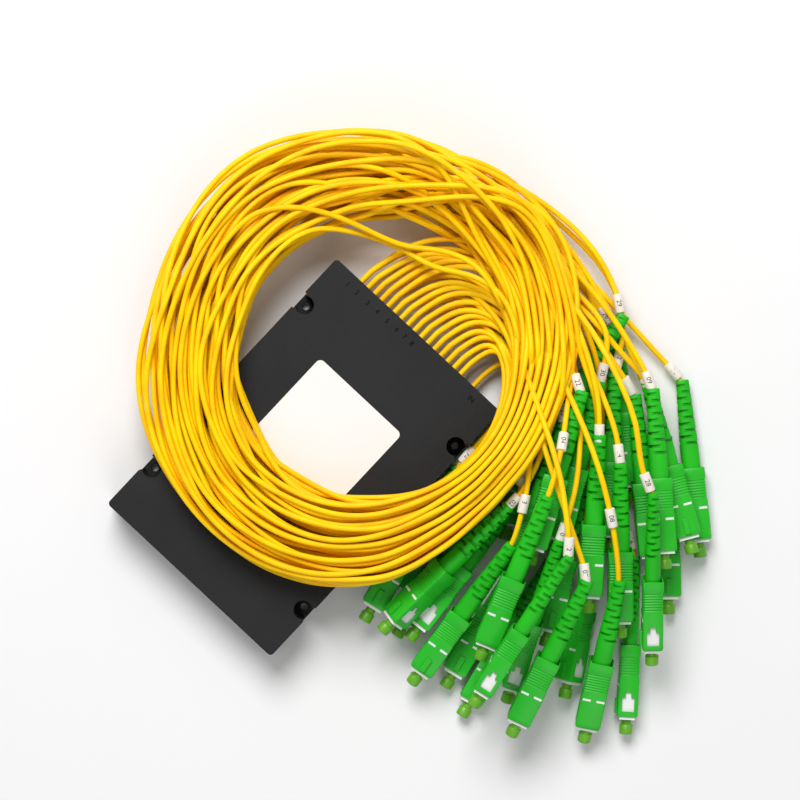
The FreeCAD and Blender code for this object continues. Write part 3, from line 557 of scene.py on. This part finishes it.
def strayRadius(number, angle, radius):
    start, end, dip = coil["strays"][number]
    if not end < angle % 360 < start:
        return radius
    share = math.sin(math.pi * (start - angle % 360) / (start - end)) ** coil["strayShape"]
    return radius + (coil["inner"] - dip - radius) * share


def layTurns(number, plan):
    step, climb = coil["stationStep"], coil["climbLong"]
    around = stationsAround()
    first = plan["first"]
    count = first + coil["turns"] * around - math.ceil((plan["endAngle"] + coil["leaveEarly"]) / step)
    plan["angles"], plan["radii"], plan["levels"] = [], [], []
    for index in range(count + 1):
        angle = (first - index) * step
        level = plan["layer"]
        radius = slotRadius(plan, 0, angle)
        for later in range(1, coil["turns"] + 1):
            share = (coil["climbAt"] - angle - 360 * later + climb / 2) / climb
            if share > 0:
                radius += (slotRadius(plan, later, angle) - radius) * ease(share)
                level = later * coil["layers"] + plan["layer"]
        if number in coil["strays"] and index > around:
            radius = strayRadius(number, angle, radius)
        left = count - index
        if left < coil["settle"]:
            radius += (plan["endRadius"] - radius) * ease(1 - left / coil["settle"])
        plan["angles"].append(angle)
        plan["radii"].append(radius)
        plan["levels"].append(level)


# Every cable makes about two turns clockwise. In each layer of a turn the cables lie side by side in
# a band that wanders over the coil's width, so the layers cross one another at small angles.
def planTurns(draw):
    plans = sortIntoLayers(draw)
    drawWaves(draw, plans)
    for number, plan in plans.items():
        join = coil["joinFirst"] - coil["joinSpread"] * plan["across"]
        plan["first"] = round(join / coil["stationStep"]) + draw.choice([-1, 0, 0, 1])
        plan["loose"] = draw.uniform(*fan["loose"])
        layTurns(number, plan)
    return plans


# what lies below each cable at each station, and by how much it lifts the cable
def findBelow(plans):
    around, thick = stationsAround(), stacking["thick"]
    stations = {}
    for number, plan in plans.items():
        for index, level in enumerate(plan["levels"]):
            stations.setdefault((plan["first"] - index) % around, []).append((level, number, index))
    below = {}
    for crowd in stations.values():
        crowd.sort()
        for spot, (level, number, index) in enumerate(crowd):
            radius = plans[number]["radii"][index]
            carried = []
            for _, other, place in crowd[:spot]:
                apart = abs(plans[other]["radii"][place] - radius)
                if apart < thick:
                    apart = max(0, apart - stacking["give"])
                    carried.append((other, place, math.sqrt(thick ** 2 - apart ** 2)))
            below[level, number, index] = carried
    return below


# a cable is stiff, so it bridges small dips in what it lies on, and then it may cut into its neighbours
def smoothHeights(plan):
    for _ in range(stacking["smoothings"]):
        rough = plan["heights"]
        middle = [(before + 2 * here + after) / 4 for before, here, after in zip(rough, rough[1:], rough[2:])]
        plan["heights"] = [rough[0], *middle, rough[-1]]


# Lifts each cable onto what lies below it, round after round until nothing moves.
def stackTurns(plans):
    for plan in plans.values():
        heights = [underside(angle) + stacking["startHeight"] for angle in plan["angles"]]
        plan["heights"] = [max(height, coil["strayHeight"]) if radius < coil["inner"] else height
                           for height, radius in zip(heights, plan["radii"])]
    below = findBelow(plans)
    for _ in range(stacking["rounds"]):
        moved = 0
        for (level, number, index) in sorted(below, key=lambda key: (key[0], key[2])):
            heights = plans[number]["heights"]
            best = heights[index]
            for other, place, lift in below[level, number, index]:
                best = max(best, plans[other]["heights"][place] + lift)
            if index > 0:
                best = max(best, heights[index - 1] - stacking["rise"])
            if index + 1 < len(heights):
                best = max(best, heights[index + 1] - stacking["rise"])
            moved = max(moved, best - heights[index])
            heights[index] = best
        if moved < stacking["still"]:
            break
    for plan in plans.values():
        smoothHeights(plan)


# The fan: out of the wall, up towards the coil and round to the right until it runs in the coil.
# Only the turns are stacked; the fan and the tails aren't, and cables can cut into each other there.
def fanPoints(number, plan):
    x, z = cableExit(number)
    wall, straight = cable["wallY"], cable["straight"]
    start = Vector((x, wall + straight))
    target = Vector(ringPoint(plan["angles"][0], plan["radii"][0], 0)[:2])
    turn = math.radians(plan["angles"][0])
    ahead = Vector((math.sin(turn), -math.cos(turn)))
    reach = fan["reach"] * (target - start).length + fan["reachSpread"] * plan["across"]
    rowAway = fan["upperAway"] if number % 2 else fan["lowerAway"]
    away = (plan["loose"] + rowAway) * (1 - plan["across"])
    corners = [start, start + Vector((0, reach + away)), target - ahead * (reach + fan["ahead"]), target]
    points = [(x, wall, z), (x, wall + straight * 0.5, z)]
    high = plan["heights"][0]
    for index in range(fan["steps"]):
        t = index / fan["steps"]
        weights = ((1 - t) ** 3, 3 * t * (1 - t) ** 2, 3 * t * t * (1 - t), t ** 3)
        spot = sum((corner * weight for corner, weight in zip(corners, weights)), Vector((0, 0)))
        points.append((spot.x, spot.y, z + (high - z) * ease(t)))
    return points


def cablePoints(number, plan):
    points = fanPoints(number, plan)
    tail = tailRoutes[number]
    heights = list(plan["heights"])
    last = len(heights) - 1
    settle, outHeight = coil["settle"], tail[3][2]
    # near its way out the cable leaves the stack for the height at which it comes out
    for index in range(max(0, last - settle + 1), last + 1):
        share = ease(1 - (last - index) / settle)
        goal = max(outHeight, min(heights[index], outHeight + cable["meetRange"]))
        heights[index] += (goal - heights[index]) * share
    for angle, radius, z in zip(plan["angles"], plan["radii"], heights):
        points.append(ringPoint(angle, radius, z))
    points += [tail[3], tail[2], tail[1], tail[0]]
    place = plugMatrix(allPlugs[number])
    for back in cable["inBoot"]:
        points.append(tuple(value / mm for value in place @ Vector((back * mm, 0, 0))))
    return points


def makeCable(number, points):
    curve = bpy.data.curves.new("cable_%02d" % number, "CURVE")
    curve.dimensions = "3D"
    curve.bevel_depth = cable["wide"] / 2 * mm
    curve.bevel_resolution = 3
    curve.resolution_u = 4
    curve.use_fill_caps = True
    line = curve.splines.new("NURBS")
    line.points.add(len(points) - 1)
    for spot, (x, y, z) in zip(line.points, points):
        spot.co = (x * mm, y * mm, z * mm, 1)
    line.order_u = 3
    line.use_endpoint_u = True
    item = bpy.data.objects.new("cable_%02d" % number, curve)
    bpy.context.collection.objects.link(item)
    return item


plans = planTurns(random.Random(coil["seed"]))
stackTurns(plans)
cables = {}
for number, plan in plans.items():
    cables[number] = makeCable(number, cablePoints(number, plan))
print("%d cables are laid" % len(cables))


# A plug's x is 0 at its grip's front and falls towards its cable.
grip = {
    "long": 26.0, "wide": 9.0, "tall": 7.4, "wall": 0.48, "edge": 0.72, "waist": 0.15,
    "noseLong": 0.7, "noseShares": (0.93, 0.92), "shoulder": (2.2, 0.9),
    "rim": 4.0, "rimSlope": (0.1, 0.6), "endLong": 0.4, "endShares": (0.975, 0.97),
    "grooves": 7, "groovePitch": 1.0, "grooveDeep": 0.22, "grooveSlope": 0.12, "grooveEnd": 0.5,
    "windowFront": 2.0, "windowLong": 5.0, "windowTall": 4.4, "notchLong": 2.0, "notchTall": 2.0,
    "edgeRound": 0.1, "keyFront": 1, "keyLong": 5.5, "keyWide": 2.0, "keyTall": 0.8, "keySunk": 0.4,
}
dash = {"long": 2.9, "wide": 0.8, "thick": 0.1, "back": 11.5, "out": 2.5}
boot = {
    "front": -24.0, "straight": 10.0, "taper": 24.0, "wide": 6.8, "tall": 5.6, "endWide": 4.7,
    "endTall": 3.8, "segments": 20, "square": 0.72, "levels": 10, "slotLong": 0.9, "slotDeep": 0.36,
    "slotSlope": 0.1, "firstSlot": 0.6, "lastSlot": 0.8, "endShare": 0.93,
}
cap = {"segments": 28, "outline": ((-4.45, 0.0), (-4.45, 1.6), (-4.3, 1.75), (2.7, 1.75), (3.0, 2.05),
                                   (3.05, 2.3), (3.2, 2.4), (6.15, 2.36), (6.45, 2.1), (6.5, 0.0))}
sleeve = {
    "radius": 1.82, "long": 6.8, "round": 0.3, "segments": 28, "textSize": 2.5,
    "onTail": 0.72,  # it sits after this share of the cable's points
    "usual": -62.5,  # where it sits if it isn't named below
    "aside": 4,  # points left free at each end of that share
}
# the x and y that a cable's number sleeve sits nearest to
sleevePlaces = {
    1: (62.5, 49.4), 31: (70, 45), 10: (85.3, 42.6), 12: (90.9, 43.9), 28: (94.8, 79.7),
    16: (105.4, 60.4), 2: (67.4, 38.1), 7: (101.7, 39.8), 8: (97.9, 62.7), 5: (87.4, 29),
    6: (84.2, 31.7), 14: (81.9, 78.2), 15: (71.3, 79.6), 17: (77.8, 65.1), 4: (67.4, 68),
    13: (71.5, 99.8), 19: (81.6, 85.3), 20: (90.3, 87),
}


def softenShape(shape, angle=38):
    for face in shape.faces:
        face.smooth = True
    for edge in shape.edges:
        if len(edge.link_faces) == 2 and edge.calc_face_angle(0) > math.radians(angle):
            edge.smooth = False


def scaleShape(shape):
    bmesh.ops.scale(shape, vec=(mm, mm, mm), verts=shape.verts[:])


def finishMesh(shape, name):
    bmesh.ops.recalc_face_normals(shape, faces=shape.faces[:])
    softenShape(shape)
    scaleShape(shape)
    mesh = bpy.data.meshes.new(name)
    shape.to_mesh(mesh)
    shape.free()
    return mesh


# Draws a ring of edges back along X through the stations (x, wide share, tall share).
def drawAlong(shape, edges, stations):
    x, wide, tall = stations[0]
    for nextX, nextWide, nextTall in stations[1:]:
        grown = bmesh.ops.extrude_edge_only(shape, edges=edges)["geom"]
        verts = [part for part in grown if isinstance(part, bmesh.types.BMVert)]
        edges = [part for part in grown if isinstance(part, bmesh.types.BMEdge)]
        bmesh.ops.scale(shape, vec=(1, nextWide / wide, nextTall / tall), verts=verts)
        bmesh.ops.translate(shape, vec=(nextX - x, 0, 0), verts=verts)
        x, wide, tall = nextX, nextWide, nextTall


def gripStations():
    wide, tall, deeper = grip["wide"], grip["tall"], grip["grooveDeep"]
    thin = 1 - 2 * grip["waist"] / wide, 1 - 2 * grip["waist"] / tall
    deep = thin[0] - 2 * deeper / wide, thin[1] - 2 * deeper / tall
    back = -(grip["long"] - grip["rim"])
    front = back + grip["grooves"] * grip["groovePitch"]
    slope, end = grip["grooveSlope"], grip["grooveEnd"]
    stations = [(0, *grip["noseShares"]), (-grip["noseLong"], 1, 1)]
    stations += [(front + grip["shoulder"][0], 1, 1), (front + grip["shoulder"][1], *thin)]
    for index in range(grip["grooves"]):
        x = front - index * grip["groovePitch"]
        stations += [(x, *thin), (x - slope, *deep), (x - end, *deep), (x - (end + slope), *thin)]
    stations += [(back - grip["rimSlope"][0], *thin), (back - grip["rimSlope"][1], 1, 1)]
    stations += [(-grip["long"] + grip["endLong"], 1, 1), (-grip["long"], *grip["endShares"])]
    return stations


def turnToX(shape):
    quarter = Matrix.Rotation(math.pi / 2, 3, "Y")
    bmesh.ops.rotate(shape, cent=(0, 0, 0), matrix=quarter, verts=shape.verts[:])


def makeGripTube(shape):
    bmesh.ops.create_grid(shape, x_segments=1, y_segments=1, size=1)
    bmesh.ops.scale(shape, vec=(grip["tall"] / 2, grip["wide"] / 2, 1), verts=shape.verts[:])
    bmesh.ops.bevel(shape, geom=shape.verts[:], offset=grip["edge"], offset_type="OFFSET",
                    affect="VERTICES", segments=2, profile=0.5, material=-1)
    bmesh.ops.delete(shape, geom=shape.faces[:], context="FACES_ONLY")
    turnToX(shape)
    stations = gripStations()
    bmesh.ops.scale(shape, vec=(1, stations[0][1], stations[0][2]), verts=shape.verts[:])
    drawAlong(shape, shape.edges[:], stations)


# cuts the tube's faces along the sides of its latch windows and notches, and takes out what is in them
def cutGripWindows(shape):
    back = grip["windowFront"] + grip["windowLong"]
    notchBack = back + grip["notchLong"]
    for x in (grip["windowFront"], back, notchBack):
        bmesh.ops.bisect_plane(shape, geom=shape.verts[:] + shape.edges[:] + shape.faces[:],
                               plane_co=(-x, 0, 0), plane_no=(1, 0, 0))
    for z in (grip["windowTall"] / 2, grip["notchTall"] / 2):
        for side in (-1, 1):
            near = [face for face in shape.faces if -10 < face.calc_center_median().x < -0.6]
            parts = set(near)
            for face in near:
                parts.update(face.edges)
                parts.update(face.verts)
            bmesh.ops.bisect_plane(shape, geom=list(parts), plane_co=(0, 0, side * z), plane_no=(0, 0, 1))
    holes = []
    for face in shape.faces:
        middle = face.calc_center_median()
        if abs(middle.y) < grip["wide"] / 2 - 0.05:
            continue
        inWindow = -back < middle.x < -grip["windowFront"] and abs(middle.z) < grip["windowTall"] / 2
        inNotch = -notchBack < middle.x < -back and abs(middle.z) < grip["notchTall"] / 2
        if inWindow or inNotch:
            holes.append(face)
    bmesh.ops.delete(shape, geom=holes, context="FACES")


def addBlock(shape, size, middle):
    block = bmesh.ops.create_cube(shape, size=1)["verts"]
    bmesh.ops.scale(shape, vec=size, verts=block)
    bmesh.ops.translate(shape, vec=middle, verts=block)


def makeGripMesh():
    shape = bmesh.new()
    makeGripTube(shape)
    cutGripWindows(shape)
    bmesh.ops.recalc_face_normals(shape, faces=shape.faces[:])
    bmesh.ops.solidify(shape, geom=shape.faces[:], thickness=grip["wall"])
    up = grip["tall"] / 2 + (grip["keyTall"] - grip["keySunk"]) / 2
    addBlock(shape, (grip["keyLong"], grip["keyWide"], grip["keyTall"] + grip["keySunk"]),
             (-grip["keyFront"] - grip["keyLong"] / 2, 0, up))
    return finishMesh(shape, "gripShape")


def makeDashMesh():
    shape = bmesh.new()
    for out in (-1, 1):
        for up in (-1, 1):
            addBlock(shape, (dash["wide"], dash["long"], dash["thick"]),
                     (-dash["back"], out * dash["out"], up * grip["tall"] / 2))
    return finishMesh(shape, "dashShape")


def bootShares(x):
    t = min(max((boot["front"] - boot["straight"] - x) / boot["taper"], 0), 1)
    return 1 + (boot["endWide"] / boot["wide"] - 1) * t, 1 + (boot["endTall"] / boot["tall"] - 1) * t


def makeBootMesh():
    shape = bmesh.new()
    bmesh.ops.create_circle(shape, cap_ends=False, segments=boot["segments"], radius=1)
    turnToX(shape)
    for vert in shape.verts:
        vert.co.y = math.copysign(abs(vert.co.y) ** boot["square"], vert.co.y) * boot["wide"] / 2
        vert.co.z = math.copysign(abs(vert.co.z) ** boot["square"], vert.co.z) * boot["tall"] / 2
    start = boot["front"] - boot["straight"]
    end = start - boot["taper"]
    pitch = (boot["taper"] - boot["lastSlot"]) / boot["levels"]
    spots = [boot["front"], start + 0.4]
    slots = []
    for level in range(boot["levels"]):
        x = start - boot["firstSlot"] - level * pitch
        front = x - boot["slotSlope"]
        back = front - boot["slotLong"]
        slots.append((front, back, level))
        spots += [x, front, back, back - boot["slotSlope"]]
    spots += [end + 0.4, end]
    stations = [(x, *bootShares(x)) for x in spots]
    stations[-1] = (end, stations[-1][1] * boot["endShare"], stations[-1][2] * boot["endShare"])
    bmesh.ops.translate(shape, vec=(boot["front"], 0, 0), verts=shape.verts[:])
    drawAlong(shape, shape.edges[:], stations)
    # the slots are cut into opposite quarters of the boot by turns
    for vert in shape.verts:
        for front, back, level in slots:
            if back - 0.02 < vert.co.x < front + 0.02 and vert.co.y * vert.co.z * (-1) ** level > -0.2:
                vert.co.y *= 1 - boot["slotDeep"]
                vert.co.z *= 1 - boot["slotDeep"]
    bmesh.ops.holes_fill(shape, edges=[edge for edge in shape.edges if edge.is_boundary])
    return finishMesh(shape, "bootShape")


def makeCapMesh():
    shape = bmesh.new()
    line = [shape.verts.new((x, 0, radius)) for x, radius in cap["outline"]]
    edges = [shape.edges.new(pair) for pair in zip(line, line[1:])]
    bmesh.ops.spin(shape, geom=line + edges, cent=(0, 0, 0), axis=(1, 0, 0), dvec=(0, 0, 0),
                   angle=2 * math.pi, steps=cap["segments"], use_merge=True)
    bmesh.ops.remove_doubles(shape, verts=shape.verts[:], dist=0.001)
    return finishMesh(shape, "capShape")


def placeMesh(master, name, matrix, body, finishName, replaced=(), bevel=0):
    mesh = master.copy()
    mesh.name = name
    mesh.transform(matrix)
    item = bpy.data.objects.new(name, mesh)
    bpy.context.collection.objects.link(item)
    mesh.materials.append(finish[finishName])
    if bevel:
        rounding = item.modifiers.new("edges", "BEVEL")
        rounding.width = bevel * mm
        rounding.segments = 2
        rounding.limit_method = "ANGLE"
        rounding.angle_limit = math.radians(50)
    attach(item, body)
    if replaced:
        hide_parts(*replaced)
    return item


gripMesh, dashMesh, bootMesh, capMesh = makeGripMesh(), makeDashMesh(), makeBootMesh(), makeCapMesh()
for number, row in allPlugs.items():
    place = plugMatrix(row)
    gripNode, capNode = "grip_%02d" % number, "dust_cap_%02d" % number
    moving = row in movingPlugs
    gripBody, capBody = (gripNode, capNode) if moving else ("splitter", "splitter")
    if not moving:
        gripNode, capNode = "spare_grips", "spare_caps"
    placeMesh(gripMesh, "grip_shell_%02d" % number, place, gripBody, "green_plastic",
              (gripNode,), grip["edgeRound"])
    placeMesh(dashMesh, "grip_marks_%02d" % number, place, gripBody, "white_plastic")
    placeMesh(capMesh, "cap_%02d" % number, place, capBody, "green_cap", (capNode,))
    placeMesh(bootMesh, "boot_%02d" % number, place, "splitter", "green_boot",
                              ("boots",))


# points along the cable's own line, from the wall to the plug
def centreLine(item):
    curve = item.data.copy()
    curve.bevel_depth = 0
    probe = bpy.data.objects.new("probe", curve)
    bpy.context.collection.objects.link(probe)
    bpy.context.view_layer.update()
    mesh = bpy.data.meshes.new_from_object(probe.evaluated_get(bpy.context.evaluated_depsgraph_get()))
    points = [vert.co.copy() for vert in mesh.vertices]
    bpy.data.objects.remove(probe)
    bpy.data.meshes.remove(mesh)
    return points


def makeSleeveMesh():
    shape = bmesh.new()
    bmesh.ops.create_cone(shape, cap_ends=True, segments=sleeve["segments"], radius1=sleeve["radius"],
                          radius2=sleeve["radius"], depth=sleeve["long"],
                          matrix=Matrix.Rotation(math.pi / 2, 4, "Y"))
    ends = [edge for edge in shape.edges if abs(edge.verts[0].co.x - edge.verts[1].co.x) < 0.01]
    bmesh.ops.bevel(shape, geom=ends, offset=sleeve["round"], affect="EDGES", segments=3, profile=0.5,
                    material=-1)
    return finishMesh(shape, "sleeveShape")


lettering = {"thick": 0.03, "smooth": 4, "offSleeve": 0.01}


def textMesh(words, size):
    curve = bpy.data.curves.new("words", "FONT")
    curve.body, curve.size = words, size
    curve.align_x, curve.align_y = "CENTER", "CENTER"
    curve.extrude = lettering["thick"]
    curve.resolution_u = lettering["smooth"]
    item = bpy.data.objects.new("words", curve)
    bpy.context.collection.objects.link(item)
    bpy.context.view_layer.update()
    mesh = bpy.data.meshes.new_from_object(item.evaluated_get(bpy.context.evaluated_depsgraph_get()))
    bpy.data.objects.remove(item)
    return mesh


# wraps flat digits over the sleeve's round top
def wrapDigits(mesh):
    radius = sleeve["radius"] + lettering["offSleeve"]
    for vert in mesh.vertices:
        up = vert.co.z
        turn = vert.co.y / radius
        vert.co.y = math.sin(turn) * (radius + up)
        vert.co.z = math.cos(turn) * (radius + up)
    mesh.transform(Matrix.Scale(mm, 4))


# where on its cable's points a sleeve sits: by the place it is given, or else close behind the boot
def sleeveSpot(number, points):
    inner = range(sleeve["aside"], len(points) - sleeve["aside"])
    if number in sleevePlaces:
        x, y = sleevePlaces[number]
        goal = Vector((x * mm, y * mm, 0))
        return min(inner, key=lambda i: (points[i].xy - goal.xy).length)
    goal = plugMatrix(allPlugs[number]) @ Vector((sleeve["usual"] * mm, 0, 0))
    return min(inner, key=lambda i: (points[i] - goal).length)


def sleeveMatrix(points, spot):
    along = (points[spot + 2] - points[spot - 2]).normalized()
    side = Vector((0, 0, 1)).cross(along).normalized()
    up = along.cross(side)
    place = Matrix((along, side, up)).transposed().to_4x4()
    place.translation = points[spot]
    return place


sleeveMesh = makeSleeveMesh()
for number, item in cables.items():
    line = centreLine(item)
    tailPart = line[int(len(line) * sleeve["onTail"]):]
    place = sleeveMatrix(tailPart, sleeveSpot(number, tailPart))
    shell = placeMesh(sleeveMesh, "sleeve_%02d" % number, place, "splitter", "sleeve_white")
    digits = textMesh("IN" if number == 0 else "%02d" % number, sleeve["textSize"])
    wrapDigits(digits)
    marks = placeMesh(digits, "sleeve_digits_%02d" % number, place, "splitter", "ink")
print("number sleeves are on")


for number, item in cables.items():
    item.data.materials.append(finish["yellow_jacket"])
    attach(item, "splitter")
    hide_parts("fan_out", "fan_out_bundle", "cable_coil", "tail_jackets")


lidMarks = {
    "textSize": 2.6, "y": 56.0, "raised": 0.03,
    "places": {"1": -30.7, "2": -26.4, "3": -21.0, "4": -16.4, "5": -11.5, "6": -6.9, "7": -3.2, "8": 0.4,
               "IN": 29.4},
}


def makeLidMarks():
    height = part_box("lid")[1][2] + lidMarks["raised"] * mm
    for words, x in lidMarks["places"].items():
        mesh = textMesh(words, lidMarks["textSize"])
        place = Matrix.Translation((x * mm, lidMarks["y"] * mm, height))
        mesh.transform(place @ Matrix.Scale(mm, 4))
        placeMesh(mesh, "lid_mark_%s" % words, Matrix(), "splitter", "mould_print")


makeLidMarks()
print("the lid's numbers are on")
